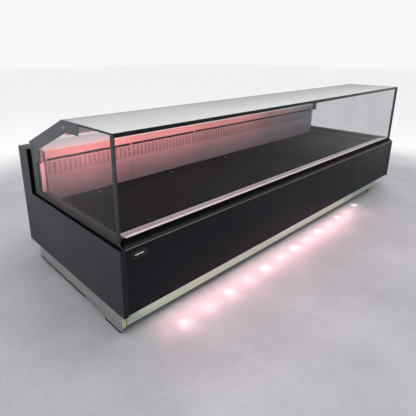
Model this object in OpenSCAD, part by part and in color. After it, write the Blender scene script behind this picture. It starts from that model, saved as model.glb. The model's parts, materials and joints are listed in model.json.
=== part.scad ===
// Refrigerated deli case with a glass box front, in millimetres, +Z up.
// Front is -Y and the long side runs along X. The origin is on the floor,
// under the middle of the case. Modules are drawn in case coordinates:
// x from the left end, y from the front, z from the floor.

/* [Overall] */
// Length over the end panels
case_length = 3125; // [2500:625:3750]
// Depth from front panel to rear panel
case_depth = 1100; // [1000:10:1200]
// Underside of the body above the floor
body_bottom = 107; // [90:1:150]
// Top of the front panel and of the low part of the end panels
panel_top = 457; // [430:1:520]
// Top of the rear uprights and worktop
upright_top = 738; // [680:1:800]
// Upper face of the level top glass
glass_top = 973; // [920:1:1050]

/* [Glass box] */
// Front and top glass thickness
glass_t = 8; // [6:1:10]
// Side glass thickness
side_glass_t = 6; // [5:1:8]
// Rear edge of the level top glass
ridge_y = 482; // [400:1:560]
// Outer face of the side frames from the end
frame_x = 15; // [12:1:20]

/* [Body] */
// End panel thickness
end_t = 28; // [20:1:40]
// Depth of the rear uprights
upright_depth = 129; // [100:1:160]
// Sheet thickness of panels
sheet = 2; // [1:0.5:3]
// Top of the display deck
deck_z = 430; // [400:1:440]

/* [Air system] */
// Number of fan openings
fan_count = 3; // [3:1:3]
// Fan blade tip radius
fan_r = 76; // [60:1:78]
// Number of deck trays and grille sections
bay_count = 5; // [5:1:5]

/* [Legs] */
// Outer face of the right leg plate from the left end
right_leg_x = 2828; // [2600:1:3100]
// Middle of the joint between the two kick plates
kick_joint_x = 1480; // [1300:1:1700]

/* [Hidden] */
$fn = 48;
len = case_length;
dep = case_depth;
tub_x = 30;
tub_front = 12;
tub_rear = 1060;
tub_bottom = 135;
tub_t = 1.5;
foam_top = 453;
cap_x = 60;
gusset_y = 832;
front_bottom = body_bottom + 6;
rear_top = upright_top - sheet;
step_y = 868;
liner_x = 56;
liner_front = 46;
liner_rear = 1010;
liner_bottom = 190;
rim_top = foam_top + tub_t;
rear_rim = rear_top - tub_t;
rail_top = 490;
glass_y = 27;
glass_under = glass_top - glass_t - 0.3;
bay_x = 57.8;
bay_pitch = 602;
bay_w = 600;
fan_pitch = 900;
fan_z = 284.5;
fan_y = 420;
coil_x0 = 160;
coil_x1 = 2860;
coil_pitch = 60;
tube_r = 8;
leg_beam_w = 40;
foot_front_y = 110;
foot_rear_y = 890;
left_foot_x = 50;
middle_foot_x = kick_joint_x;
right_foot_x = 2781;
suction_x = 3030;
liquid_x = 2965;
pipe_y = 610;
drain_x = 1700;
drain_y = 300;
control_x = 2600;
control_z = 620;
rocker_x = 2690;
screw_y = 462;
screw_z = 937;

// helpers

module in_case() {
  translate([-len / 2, -dep / 2, 0]) children();
}

module right_hand() {
  translate([len, 0, 0]) mirror([1, 0, 0]) children();
}

module box(x0, x1, y0, y1, z0, z1) {
  translate([x0, y0, z0]) cube([x1 - x0, y1 - y0, z1 - z0]);
}

// a (y, z) profile drawn out along x
module prof(x0, x1, pts) {
  translate([x0, 0, 0]) rotate([90, 0, 90]) linear_extrude(x1 - x0) polygon(pts);
}

module xcyl(x0, x1, y, z, r) {
  translate([x0, y, z]) rotate([0, 90, 0]) cylinder(h = x1 - x0, r = r);
}

module ycyl(x, y0, y1, z, r) {
  translate([x, y0, z]) rotate([-90, 0, 0]) cylinder(h = y1 - y0, r = r);
}

module zcyl(x, y, z0, z1, r) {
  translate([x, y, z0]) cylinder(h = z1 - z0, r = r);
}

// end panels

module end_panel() {
  up_y = dep - upright_depth;
  prof(0, sheet, [[0, body_bottom], [dep, body_bottom], [dep, upright_top],
    [up_y, upright_top], [up_y, panel_top], [0, panel_top]]);
  box(0, end_t, 0, sheet, body_bottom, panel_top);
  box(0, end_t, 0, dep, body_bottom, body_bottom + sheet);
  box(0, end_t, dep - sheet, dep, body_bottom, upright_top);
  box(0, cap_x, up_y, dep, upright_top - sheet, upright_top);
  box(0, end_t, 0, up_y + 12, panel_top - 12, panel_top - 10);
  box(0, end_t, up_y + 10, up_y + 12, panel_top - 12, upright_top);
}

module left_end_panel() {
  color([0.13, 0.14, 0.15]) in_case() end_panel();
}

module right_end_panel() {
  color([0.13, 0.14, 0.15]) in_case() right_hand() end_panel();
}

module end_gasket() {
  up_y = dep - upright_depth;
  prof(sheet + 0.3, end_t - 0.3, [[2.3, panel_top - 9.7], [up_y + 9.7, panel_top - 9.7],
    [up_y + 9.7, upright_top - 2.3], [up_y + 4, upright_top - 2.3],
    [up_y + 4, panel_top - 4], [2.3, panel_top - 4]]);
  // the leg that stands up behind the lower and rear edges of the side frame
  prof(frame_x + 3.3, end_t - 0.3, [[14, panel_top - 5], [up_y + 5, panel_top - 5],
    [up_y + 5, upright_top - 2.3], [926, upright_top - 2.3], [926, 471], [36, 471],
    [36, 461], [14, 461]]);
}

module end_gaskets() {
  color([0.02, 0.02, 0.02]) in_case() {
    end_gasket();
    right_hand() end_gasket();
  }
}

// front panel, ledge and glass channel

module front_panel() {
  color([0.09, 0.09, 0.1]) in_case()
    prof(end_t + 0.5, len - end_t - 0.5, [[1.5, front_bottom], [27, front_bottom],
      [27, front_bottom + 12], [25.5, front_bottom + 12], [25.5, front_bottom + 1.5],
      [3, front_bottom + 1.5], [3, 450.5], [tub_front, 450.5], [tub_front, 452], [1.5, 452]]);
}

module front_edge_trim() {
  color([0.5, 0.45, 0.45]) in_case()
    prof(end_t + 0.5, len - end_t - 0.5, [[0.5, 453.5], [2, 452], [8, 452],
      [8, panel_top], [2, panel_top], [0.5, 455.5]]);
}

module front_ledge() {
  color([0.14, 0.15, 0.16]) in_case()
    prof(end_t + 0.5, len - end_t - 0.5, [[0.5, panel_top], [3, panel_top], [11.5, 462.7],
      [11.5, rim_top], [13.5, rim_top], [13.5, 465.8], [0.5, 459.5]]);
}

module glass_channel() {
  color([0.02, 0.02, 0.02]) in_case() difference() {
    prof(tub_x, len - tub_x, [[13.8, rim_top], [48, rim_top], [48, rail_top],
      [24.3, rail_top], [24.3, 474], [13.8, 466]]);
    box(0, len, glass_y - 0.3, glass_y + glass_t + 0.3, 462, 600);
    box(0, len, 20, glass_y, 486, 600);
    box(0, len, 38, 46, rim_top + 2, rail_top - 2);
  }
}

// glass box

module front_glass() {
  color([0.8, 0.88, 0.87, 0.35]) in_case()
    box(18.3, len - 18.3, glass_y, glass_y + glass_t, 462.3, glass_under);
}

module top_glass() {
  color([0.8, 0.88, 0.87, 0.35]) in_case()
    box(18.3, len - 18.3, glass_y, ridge_y, glass_top - glass_t, glass_top);
}

module side_glass() {
  y0 = glass_y + glass_t + 0.3;
  x0 = frame_x + 3.3;
  difference() {
    prof(x0, x0 + side_glass_t, [[y0, rail_top + 0.3], [892, rail_top + 0.3],
      [892, 672], [gusset_y - 0.5, 672], [gusset_y - 0.5, 790], [470, 952],
      [470, glass_under], [y0, glass_under]]);
    xcyl(x0 - 1, x0 + side_glass_t + 1, screw_y, screw_z, 5);
  }
}

module left_side_glass() {
  color([0.75, 0.84, 0.83, 0.35]) in_case() side_glass();
}

module right_side_glass() {
  color([0.75, 0.84, 0.83, 0.35]) in_case() right_hand() side_glass();
}

// painted steel frame outside each side glass: plate, base rail and a flange on the gusset
module side_frame() {
  x1 = frame_x + 3;
  difference() {
    prof(frame_x, x1, [[2, 459], [10, 464], [941, 464], [936, 752], [957, 783],
      [ridge_y, glass_top], [318, glass_top], [325, 915], [446, 915], [gusset_y, 757],
      [gusset_y, 677], [872, 670], [875, rail_top], [46, rail_top], [26, 487],
      [23, 475], [2, 462]]);
    xcyl(0, 30, screw_y, screw_z, 3.2);
  }
  box(frame_x, 55, 49, 860, rail_top - 3, rail_top);
  box(52, 55, 49, 860, rim_top, rail_top);
  box(frame_x, 41, gusset_y, gusset_y + 3, 677, 757);
}

module left_side_frame() {
  color([0.16, 0.17, 0.18]) in_case() side_frame();
}

module right_side_frame() {
  color([0.16, 0.17, 0.18]) in_case() right_hand() side_frame();
}

// an upright L along the glass corner and a thin strip along the top side edge
module edge_trim() {
  difference() {
    box(16, 24, 25, 47, rail_top + 0.5, 963.7);
    box(17.7, 40, 26.7, 60, 400, 1000);
  }
  box(16, 17.9, 25, 317.5, 964, glass_top);
}

module glass_edge_trims() {
  color([0.05, 0.05, 0.055]) in_case() {
    edge_trim();
    right_hand() edge_trim();
  }
}

// lamps

module front_lamp_profile() {
  color([0.03, 0.03, 0.03]) in_case()
    prof(26, len - 60, [[36, glass_under], [36, 951], [40, 951], [40, 957],
      [56, 957], [56, 951], [60, 951], [60, glass_under]]);
}

module front_lamp_diffuser() {
  color([1, 0.85, 0.85]) in_case() box(30, len - 64, 40.3, 55.7, 952, 957);
}

module ridge_rail() {
  color([0.8, 0.8, 0.8]) in_case() difference() {
    box(24.6, len - 24.6, 452, ridge_y, 902, glass_under);
    box(40, len - 40, 454, ridge_y - 2, 912, glass_under - 2);
    box(20, len - 20, 457, 477, 900, 908);
    xcyl(20, 34, screw_y, screw_z, 2.95);
    xcyl(len - 34, len - 20, screw_y, screw_z, 2.95);
  }
}

module ridge_lamp_diffuser() {
  color([1, 0.5, 0.5]) in_case() box(26, len - 26, 457.3, 476.7, 897, 908);
}

// insulated tub

module tub_end() {
  prof(tub_x, tub_x + tub_t, [[tub_front, tub_bottom], [tub_rear, tub_bottom],
    [tub_rear, rear_rim], [step_y, rear_rim], [step_y, foam_top], [tub_front, foam_top]]);
  box(tub_x, liner_x, step_y, step_y + tub_t, foam_top - 20, rear_rim);
}

module outer_tub() {
  color([0.75, 0.76, 0.77]) in_case() difference() {
    union() {
      box(tub_x, len - tub_x, tub_front, tub_rear, tub_bottom, tub_bottom + tub_t);
      box(tub_x, len - tub_x, tub_front, tub_front + tub_t, tub_bottom, foam_top);
      box(tub_x, len - tub_x, tub_rear - tub_t, tub_rear, tub_bottom, rear_rim);
      tub_end();
      right_hand() tub_end();
      for (x = rear_screw_x()) ycyl(x, tub_rear - 1, 1096.5, 300, 6);
    }
    for (x = rear_screw_x()) ycyl(x, tub_rear + 5, 1100, 300, 2.05);
    floor_holes();
  }
}

module floor_holes() {
  zcyl(suction_x, pipe_y, 100, 220, 16);
  zcyl(liquid_x, pipe_y, 100, 220, 12);
  zcyl(drain_x, drain_y, 100, 220, 20.5);
}

module insulation() {
  f = tub_front + tub_t;
  b = tub_bottom + tub_t;
  r = tub_rear - tub_t;
  s = step_y + tub_t;
  color([0.85, 0.78, 0.5]) in_case() difference() {
    prof(tub_x + tub_t, len - tub_x - tub_t, [[f, b], [r, b], [r, rear_rim],
      [s, rear_rim], [s, foam_top], [f, foam_top]]);
    box(liner_x, len - liner_x, liner_front, liner_rear, liner_bottom, 900);
    box(tub_x, liner_x, step_y, s, foam_top - 20, 900);
    right_hand() box(tub_x, liner_x, step_y, s, foam_top - 20, 900);
    floor_holes();
  }
}

module liner_end_rim() {
  box(tub_x, liner_x + 1, tub_front, step_y, foam_top, rim_top);
  box(tub_x, liner_x + 1, step_y, tub_rear, rear_rim, rear_top);
}

module inner_liner() {
  color([0.8, 0.8, 0.8]) in_case() difference() {
    union() {
      prof(liner_x, len - liner_x, [[liner_front, liner_bottom],
        [liner_rear, liner_bottom], [liner_rear, rear_top], [step_y, rear_top],
        [step_y, rim_top], [liner_front, rim_top]]);
      box(tub_x, len - tub_x, tub_front, liner_front + 1, foam_top, rim_top);
      box(tub_x, len - tub_x, liner_rear - 1, tub_rear, rear_rim, rear_top);
      liner_end_rim();
      right_hand() liner_end_rim();
    }
    box(liner_x + tub_t, len - liner_x - tub_t, liner_front + tub_t,
      liner_rear - tub_t, liner_bottom + tub_t, 900);
    floor_holes();
  }
}

// folded stainless worktop with the plain band above the air outlet
module rear_worktop() {
  color([0.8, 0.8, 0.8]) in_case() {
    box(end_t + 0.5, len - end_t - 0.5, 870, dep - upright_depth - 0.5, rear_top, upright_top);
    box(cap_x + 0.5, len - cap_x - 0.5, 870, dep, rear_top, upright_top);
    box(liner_x, len - liner_x, 846, 872, rear_top, upright_top);
    box(liner_x, len - liner_x, 846, 848, 691, upright_top);
    box(liner_x, len - liner_x, 846, 850.7, 691, 692.5);
    box(end_t + 0.5, len - end_t - 0.5, dep - 2, dep, 716, rear_top - 0.3);
    box(cap_x + 0.5, len - cap_x - 0.5, dep - 2, dep, 716, upright_top);
  }
}

// 2-D sheet with a grid of slots
module slotted(w, h, nx, ny, px, py, sx, sy, x0, y0) {
  difference() {
    square([w, h]);
    for (i = [0:nx - 1], j = [0:ny - 1])
      translate([x0 + i * px, y0 + j * py]) square([sx, sy]);
  }
}

module rear_grille() {
  color([0.72, 0.72, 0.72]) in_case()
    for (k = [0:bay_count - 1])
      translate([bay_x + k * bay_pitch, 852.5, liner_bottom + tub_t]) rotate([90, 0, 0])
        linear_extrude(1.5) difference() {
          slotted(bay_w, 500.5, 18, 6, 33, 12.5, 20, 6.5, 9, 404);
          for (i = [0:5]) translate([8 + i * 98, 483]) square([94, 15]);
        }
}

module return_grille() {
  color([0.8, 0.78, 0.78]) in_case()
    for (k = [0:bay_count - 1])
      translate([bay_x + k * bay_pitch, 0, 0]) {
        translate([0, 50, 484]) rotate([-7.2, 0, 0]) translate([0, -1, 0]) linear_extrude(1.5)
          slotted(bay_w, 64, 37, 3, 16, 16, 10, 9, 7, 9);
        box(0, bay_w, 48, 50, 472, rail_top + 1.5);
        box(0, bay_w, 36, 50, rail_top, rail_top + 1.5);
        box(0, bay_w, 111, 112.5, deck_z - 46, 477.5);
      }
}

// deck

module deck_tray(k) {
  x0 = bay_x + k * bay_pitch;
  color([0.03, 0.03, 0.03]) in_case() difference() {
    box(x0, x0 + bay_w, 118, 843, deck_z - 20, deck_z);
    box(x0 + 1.5, x0 + bay_w - 1.5, 119.5, 841.5, deck_z - 30, deck_z - 1.5);
    for (y = [170, 790]) zcyl(x0 + bay_w / 2, y, deck_z - 30, deck_z + 1, 12);
  }
}

module deck_tray_1() {
  deck_tray(0);
}

module deck_tray_2() {
  deck_tray(1);
}

module deck_tray_3() {
  deck_tray(2);
}

module deck_tray_4() {
  deck_tray(3);
}

module deck_tray_5() {
  deck_tray(4);
}

module deck_rails() {
  x0 = liner_x + tub_t;
  color([0.7, 0.71, 0.72]) in_case()
    for (y = [112.5, 470, 818]) difference() {
      box(x0, len - x0, y, y + 20, deck_z - 50, deck_z - 20);
      box(x0 - 1, len - x0 + 1, y + 2, y + 18, deck_z - 48, deck_z - 22);
    }
}

// evaporator coil

function tube_at(k) = k < 4 ? [610 + 60 * k, 255] : [790 - 60 * (k - 4), 325];

module fin_2d(h0) {
  difference() {
    translate([580, h0]) square([240, 365 - h0]);
    for (k = [0:7]) translate(tube_at(k)) circle(r = tube_r + 0.1);
  }
}

module evaporator_fins() {
  n = floor((coil_x1 - coil_x0) / coil_pitch);
  color([0.75, 0.77, 0.79]) in_case() {
    for (i = [1:n - 1]) translate([coil_x0 + i * coil_pitch, 0, 0])
      rotate([90, 0, 90]) linear_extrude(1) fin_2d(215);
    for (x = [coil_x0, coil_x1]) translate([x, 0, 0])
      rotate([90, 0, 90]) linear_extrude(2) fin_2d(liner_bottom + tub_t);
  }
}

// half ring between two tubes; side is +1 at the right end and -1 at the left
module return_bend(a, b, x, side) {
  m = (a + b) / 2;
  r = norm(b - a) / 2;
  tilt = atan2(b[1] - a[1], b[0] - a[0]);
  translate([x, m[0], m[1]]) rotate([tilt, 0, 0]) rotate([0, 0, side > 0 ? -90 : 90])
    rotate_extrude(angle = 180) translate([r, 0]) circle(r = tube_r);
}

module evaporator_tubes() {
  x0 = coil_x0 - 30;
  x1 = coil_x1 + 30;
  color([0.72, 0.42, 0.26]) in_case() {
    for (k = [0:7]) xcyl(x0, x1, tube_at(k)[0], tube_at(k)[1], tube_r);
    for (k = [0:2:6]) return_bend(tube_at(k), tube_at(k + 1), x0, -1);
    for (k = [1:2:5]) return_bend(tube_at(k), tube_at(k + 1), x1, 1);
  }
}

// pipe: along x from x0, quarter bend of radius br, then down to z1
module dropped_pipe(x0, xv, y, z, z1, r, br) {
  xcyl(x0, xv - br, y, z, r);
  translate([xv - br, y, z - br]) rotate([90, 0, 0])
    rotate_extrude(angle = 90) translate([br, 0]) circle(r = r);
  zcyl(xv, y, z1, z - br, r);
}

module suction_line() {
  x0 = coil_x1 + 30;
  color([0.72, 0.42, 0.26]) in_case() difference() {
    dropped_pipe(x0, suction_x, pipe_y, 325, 60, 11, 30);
    zcyl(suction_x, pipe_y, 50, 180, 10);
  }
}

module liquid_line() {
  x0 = coil_x1 + 30;
  color([0.76, 0.6, 0.3]) in_case() {
    dropped_pipe(x0, liquid_x, pipe_y, 255, 60, 5, 16);
    xcyl(x0, x0 + 30, pipe_y, 255, 12);
    zcyl(x0 + 15, pipe_y, 255, 285, 13);
    zcyl(x0 + 15, pipe_y, 285, 292, 20);
  }
}

module drain_outlet() {
  color([0.15, 0.15, 0.16]) in_case() difference() {
    union() {
      zcyl(drain_x, drain_y, 66, 131, 16);
      zcyl(drain_x, drain_y, 130, 192, 20);
      zcyl(drain_x, drain_y, liner_bottom + tub_t, 195, 32);
    }
    zcyl(drain_x, drain_y, 60, 200, 13.5);
  }
}

// fans

function fan_x(i) = len / 2 + (i - 1) * fan_pitch;

module fan_plenum() {
  x0 = liner_x + tub_t + 0.2;
  color([0.78, 0.78, 0.78]) in_case() difference() {
    union() {
      box(x0, len - x0, fan_y, fan_y + tub_t, liner_bottom + tub_t, 379);
      box(x0, len - x0, fan_y, 590, 377.5, 379);
      box(x0, len - x0, fan_y, fan_y + 20, liner_bottom + tub_t, liner_bottom + 3);
    }
    for (i = [0:fan_count - 1]) ycyl(fan_x(i), fan_y - 5, fan_y + 5, fan_z, fan_r + 4);
  }
}

module fan_motors() {
  r0 = fan_r + 4;
  color([0.2, 0.2, 0.21]) in_case()
    for (i = [0:fan_count - 1]) difference() {
      union() {
        difference() {
          ycyl(fan_x(i), fan_y + tub_t, fan_y + 5, fan_z, r0 + 10);
          ycyl(fan_x(i), fan_y, fan_y + 10, fan_z, r0);
        }
        for (a = [30, 150, 270]) translate([fan_x(i), 0, fan_z]) rotate([0, a, 0]) {
          translate([r0, fan_y + 4, -6]) cube([8, 23, 12]);
          translate([20, fan_y + 22, -6]) cube([r0 - 12, 5, 12]);
        }
        ycyl(fan_x(i), fan_y + 22, fan_y + 80, fan_z, 38);
      }
      ycyl(fan_x(i), fan_y, fan_y + 60, fan_z, 4.05);
    }
}

module fan_rotor(i) {
  color([0.1, 0.1, 0.11]) in_case() {
    ycyl(fan_x(i), fan_y - 12, fan_y + 16, fan_z, 30);
    ycyl(fan_x(i), fan_y + 14, fan_y + 55, fan_z, 4);
    intersection() {
      ycyl(fan_x(i), fan_y - 30, fan_y + 30, fan_z, fan_r);
      translate([fan_x(i), fan_y + 2, fan_z])
        for (a = [0:72:288]) rotate([0, a, 0]) rotate([32, 0, 0])
          translate([25, -1, -20]) cube([fan_r, 2, 40]);
    }
  }
}

module fan_rotor_1() {
  fan_rotor(0);
}

module fan_rotor_2() {
  fan_rotor(1);
}

module fan_rotor_3() {
  fan_rotor(2);
}

// rear panel and controls

module rear_panel() {
  color([0.16, 0.17, 0.18]) in_case() difference() {
    union() {
      box(end_t + 0.5, len - end_t - 0.5, 1096.5, 1098, 109.5, 715);
      box(end_t + 0.5, len - end_t - 0.5, tub_rear, 1098, 109.5, 111);
      box(end_t + 0.5, len - end_t - 0.5, tub_rear, 1098, 713.5, 715);
    }
    box(control_x - 42, rocker_x + 22, 1090, 1110, control_z - 22, control_z + 22);
    for (x = rear_screw_x()) ycyl(x, 1090, 1110, 300, 2.2);
  }
}

function rear_screw_x() = [for (i = [0:5]) 120 + i * (len - 240) / 5];

module control_fascia() {
  color([0.05, 0.05, 0.055]) in_case() difference() {
    union() {
      box(control_x - 48, rocker_x + 28, 1098, 1099, control_z - 28, control_z + 28);
      box(control_x - 41, rocker_x + 21, 1066, 1098, control_z - 21, control_z + 21);
    }
    for (x = [20, 34]) ycyl(control_x + x, 1092.5, 1110, control_z, 4.1);
    box(rocker_x - 10, rocker_x + 10, 1082, 1110, control_z - 16, control_z + 16);
    xcyl(rocker_x - 12, rocker_x + 12, 1091, control_z, 1.56);
    box(control_x - 34, control_x + 6, 1098.4, 1110, control_z - 12, control_z + 12);
  }
}

module controller_button(x) {
  color([0.75, 0.76, 0.78]) in_case() ycyl(control_x + x, 1094.2, 1100, control_z, 4);
}

module controller_button_up() {
  controller_button(20);
}

module controller_button_down() {
  controller_button(34);
}

module light_switch_rocker() {
  color([0.1, 0.4, 0.15]) in_case() {
    prof(rocker_x - 9.6, rocker_x + 9.6, [[1087, control_z - 7], [1094, control_z - 13.6],
      [1099.6, control_z - 13.6], [1097.4, control_z], [1097.4, control_z + 13.6],
      [1094, control_z + 13.6], [1087, control_z + 7]]);
    xcyl(rocker_x - 11.8, rocker_x + 11.8, 1091, control_z, 1.5);
  }
}

module electrical_box() {
  color([0.6, 0.61, 0.62]) in_case() {
    difference() {
      box(1900, 2300, 1060, 1092, 300, 450);
      box(1902, 2298, 1062, 1093, 302, 448);
      for (x = [1950, 2000, 2050]) zcyl(x, 1076, 290, 310, 8);
    }
    box(1899, 2301, 1092.2, 1094, 299, 451);
  }
}

// base, legs and kick plates

module base_frame() {
  color([0.1, 0.1, 0.1]) in_case() {
    for (y = [60, 900]) difference() {
      box(tub_x, len - tub_x, y, y + 40, 108.5, tub_bottom);
      box(tub_x - 1, len - tub_x + 1, y + 2, y + 38, 110.5, tub_bottom - 2);
    }
    for (x = [left_foot_x, 750, middle_foot_x, 2120, right_foot_x, len - 45]) difference() {
      box(x - 15, x + 15, 100, 900, 110, tub_bottom);
      box(x - 13, x + 13, 99, 901, 112, tub_bottom - 2);
    }
  }
}

module leg_frame(x) {
  box(x - 20, x + 20, 29.5, 49, 68.5, 71.5);
  box(x - 15, x + 15, 29.5, 31.5, 50, 95);
  difference() {
    union() {
      box(x - 20, x + 20, 48, 960, 68.5, 108.5);
      for (y = [foot_front_y, foot_rear_y]) zcyl(x, y, 56, 70, 14);
    }
    box(x - 17, x + 17, 40, 970, 71.5, 105.5);
    for (y = [foot_front_y, foot_rear_y]) zcyl(x, y, 50, 80, 6.06);
  }
}

module leg_frames() {
  color([0.1, 0.1, 0.1]) in_case() {
    leg_frame(left_foot_x);
    leg_frame(middle_foot_x);
    leg_frame(right_foot_x);
  }
}

// outer plate of a leg: deep over the front foot, arched behind it, then shallow
module leg_plate() {
  difference() {
    prof(3, 5, [[28, 36], [30, 26], [35, 17], [42, 11.5], [48, 10], [190, 10], [198, 15],
      [209, 28], [222, 39],
      [240, 45], [262, 45], [300, 40], [340, 34], [390, 31], [966, 31], [966, 106],
      [28, 106]]);
    xcyl(0, 10, 88, 34, 2.6);
  }
  box(3, 27, 28, 29.5, 36, 106);
  for (y = [130, 840]) box(5, 30, y, y + 40, 72, 100);
}

module leg_plates() {
  color([0.5, 0.5, 0.5]) in_case() {
    leg_plate();
    translate([right_leg_x + 3, 0, 0]) mirror([1, 0, 0]) leg_plate();
  }
}

module rubber_edge() {
  prof(2.5, 9, [[50, 0], [182, 0], [190, 4], [190, 9.7], [46, 9.7], [46, 2]]);
  prof(2.5, 9, [[392, 22], [966, 22], [966, 30.7], [392, 30.7]]);
}

module leg_rubber_edges() {
  color([0.02, 0.02, 0.02]) in_case() {
    rubber_edge();
    translate([right_leg_x + 3, 0, 0]) mirror([1, 0, 0]) rubber_edge();
  }
}

module kick(x0, x1) {
  difference() {
    box(x0, x1, 28, 47, 40, 104);
    box(x0 - 1, x1 + 1, 29.5, 60, 41.5, 102.5);
  }
}

module kick_plates() {
  color([0.7, 0.7, 0.68]) in_case() {
    kick(31, kick_joint_x - 0.5);
    kick(kick_joint_x + 0.5, right_leg_x - 28);
  }
}

function glow_x() = [for (i = [0:12]) 276 + i * 174.5];

module underglow_profile() {
  color([0.75, 0.76, 0.77]) in_case() difference() {
    box(240, 2410, 8, 24, front_bottom - 11, front_bottom);
    for (x = glow_x()) zcyl(x, 16, 90, front_bottom - 6, 5.2);
  }
}

module underglow_lenses() {
  color([1, 0.6, 0.65]) in_case()
    for (x = glow_x()) zcyl(x, 16, front_bottom - 13, front_bottom - 6, 5);
}

module badge() {
  color([0.05, 0.05, 0.05]) in_case() box(59, 144, 0, 1.5, 393, 431);
}

module screws() {
  color([0.7, 0.7, 0.72]) in_case() {
    frame_screw();
    right_hand() frame_screw();
    plate_screw();
    translate([right_leg_x + 3, 0, 0]) mirror([1, 0, 0]) plate_screw();
    for (x = rear_screw_x()) {
      ycyl(x, 1098, 1100, 300, 4.5);
      ycyl(x, 1086, 1099, 300, 2);
    }
  }
}

module frame_screw() {
  xcyl(12.5, frame_x, screw_y, screw_z, 6);
  xcyl(13, 33, screw_y, screw_z, 2.9);
}

module plate_screw() {
  xcyl(1.5, 3, 88, 34, 4.5);
  xcyl(2, 12, 88, 34, 2.5);
}

module foot(x, y) {
  zcyl(x, y, 0, 8, 24);
  zcyl(x, y, 8, 16, 15);
  zcyl(x, y, 15, 90, 6);
}

module foot_left_front() {
  color([0.06, 0.06, 0.06]) in_case() foot(left_foot_x, foot_front_y);
}

module foot_left_rear() {
  color([0.06, 0.06, 0.06]) in_case() foot(left_foot_x, foot_rear_y);
}

module middle_feet() {
  color([0.06, 0.06, 0.06]) in_case() {
    foot(middle_foot_x, foot_front_y);
    foot(middle_foot_x, foot_rear_y);
  }
}

module foot_right_front() {
  color([0.06, 0.06, 0.06]) in_case() foot(right_foot_x, foot_front_y);
}

module foot_right_rear() {
  color([0.06, 0.06, 0.06]) in_case() foot(right_foot_x, foot_rear_y);
}

left_end_panel();
right_end_panel();
end_gaskets();
front_panel();
front_edge_trim();
front_ledge();
glass_channel();
front_glass();
top_glass();
left_side_glass();
right_side_glass();
left_side_frame();
right_side_frame();
glass_edge_trims();
front_lamp_profile();
front_lamp_diffuser();
ridge_rail();
ridge_lamp_diffuser();
outer_tub();
insulation();
inner_liner();
rear_worktop();
rear_grille();
return_grille();
deck_tray_1();
deck_tray_2();
deck_tray_3();
deck_tray_4();
deck_tray_5();
deck_rails();
evaporator_fins();
evaporator_tubes();
fan_plenum();
fan_motors();
fan_rotor_1();
fan_rotor_2();
fan_rotor_3();
suction_line();
liquid_line();
drain_outlet();
rear_panel();
control_fascia();
controller_button_up();
controller_button_down();
light_switch_rocker();
electrical_box();
base_frame();
leg_frames();
leg_plates();
leg_rubber_edges();
kick_plates();
underglow_profile();
underglow_lenses();
badge();
screws();
foot_left_front();
foot_left_rear();
middle_feet();
foot_right_front();
foot_right_rear();
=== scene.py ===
"""Looks for the refrigerated deli case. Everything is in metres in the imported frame."""

import json
import math

import bmesh
import bpy
from mathutils import Matrix, Vector


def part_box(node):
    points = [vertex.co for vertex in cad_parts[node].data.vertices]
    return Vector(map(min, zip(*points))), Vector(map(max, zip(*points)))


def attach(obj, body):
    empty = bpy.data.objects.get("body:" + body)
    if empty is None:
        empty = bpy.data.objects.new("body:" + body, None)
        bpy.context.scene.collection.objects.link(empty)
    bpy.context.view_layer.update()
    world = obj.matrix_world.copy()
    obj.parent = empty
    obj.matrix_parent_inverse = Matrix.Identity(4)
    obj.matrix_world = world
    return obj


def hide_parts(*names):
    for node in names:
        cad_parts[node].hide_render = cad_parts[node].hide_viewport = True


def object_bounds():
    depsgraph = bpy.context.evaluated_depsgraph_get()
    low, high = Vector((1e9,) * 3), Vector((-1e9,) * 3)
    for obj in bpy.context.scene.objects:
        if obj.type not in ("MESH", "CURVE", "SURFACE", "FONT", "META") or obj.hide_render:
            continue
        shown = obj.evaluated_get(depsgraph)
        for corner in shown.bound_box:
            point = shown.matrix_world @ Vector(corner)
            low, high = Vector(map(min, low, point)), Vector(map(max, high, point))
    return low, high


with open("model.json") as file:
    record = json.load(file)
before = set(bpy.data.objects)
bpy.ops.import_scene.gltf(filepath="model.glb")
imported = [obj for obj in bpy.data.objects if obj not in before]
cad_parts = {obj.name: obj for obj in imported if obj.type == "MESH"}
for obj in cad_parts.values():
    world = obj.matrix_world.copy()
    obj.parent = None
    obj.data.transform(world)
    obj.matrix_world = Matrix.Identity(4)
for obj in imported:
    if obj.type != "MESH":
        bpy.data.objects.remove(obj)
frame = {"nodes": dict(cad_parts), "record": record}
CAD_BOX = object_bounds()
NODES = frame["nodes"]
RECORD = frame["record"]
SLOTS = {s["node"]: s["material_slot"] for s in RECORD["subparts"]}
MM = 0.001
WORLD_WHITE = (0.94, 0.94, 0.955, 1)
FRONT_FACE = -0.7  # a normal's y below this faces the customers
LEVEL_FACE = 0.999  # a normal's z above this is dead level

# ---------------------------------------------------------------- camera

camera = bpy.data.objects.new("camera", bpy.data.cameras.new("camera"))
bpy.context.scene.collection.objects.link(camera)
bpy.context.scene.camera = camera
camera.location = (-2.3246, -1.8112, 1.2843)
camera.rotation_euler = (math.radians(90 - 17.54), 0, math.radians(-43.353))
camera.data.sensor_width = 36
camera.data.lens = 32.457
camera.data.shift_x = 0.0385
camera.data.shift_y = -0.0902
camera.data.clip_end = 200
bpy.context.scene.view_settings.view_transform = "Standard"

# ---------------------------------------------------------------- materials


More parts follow.
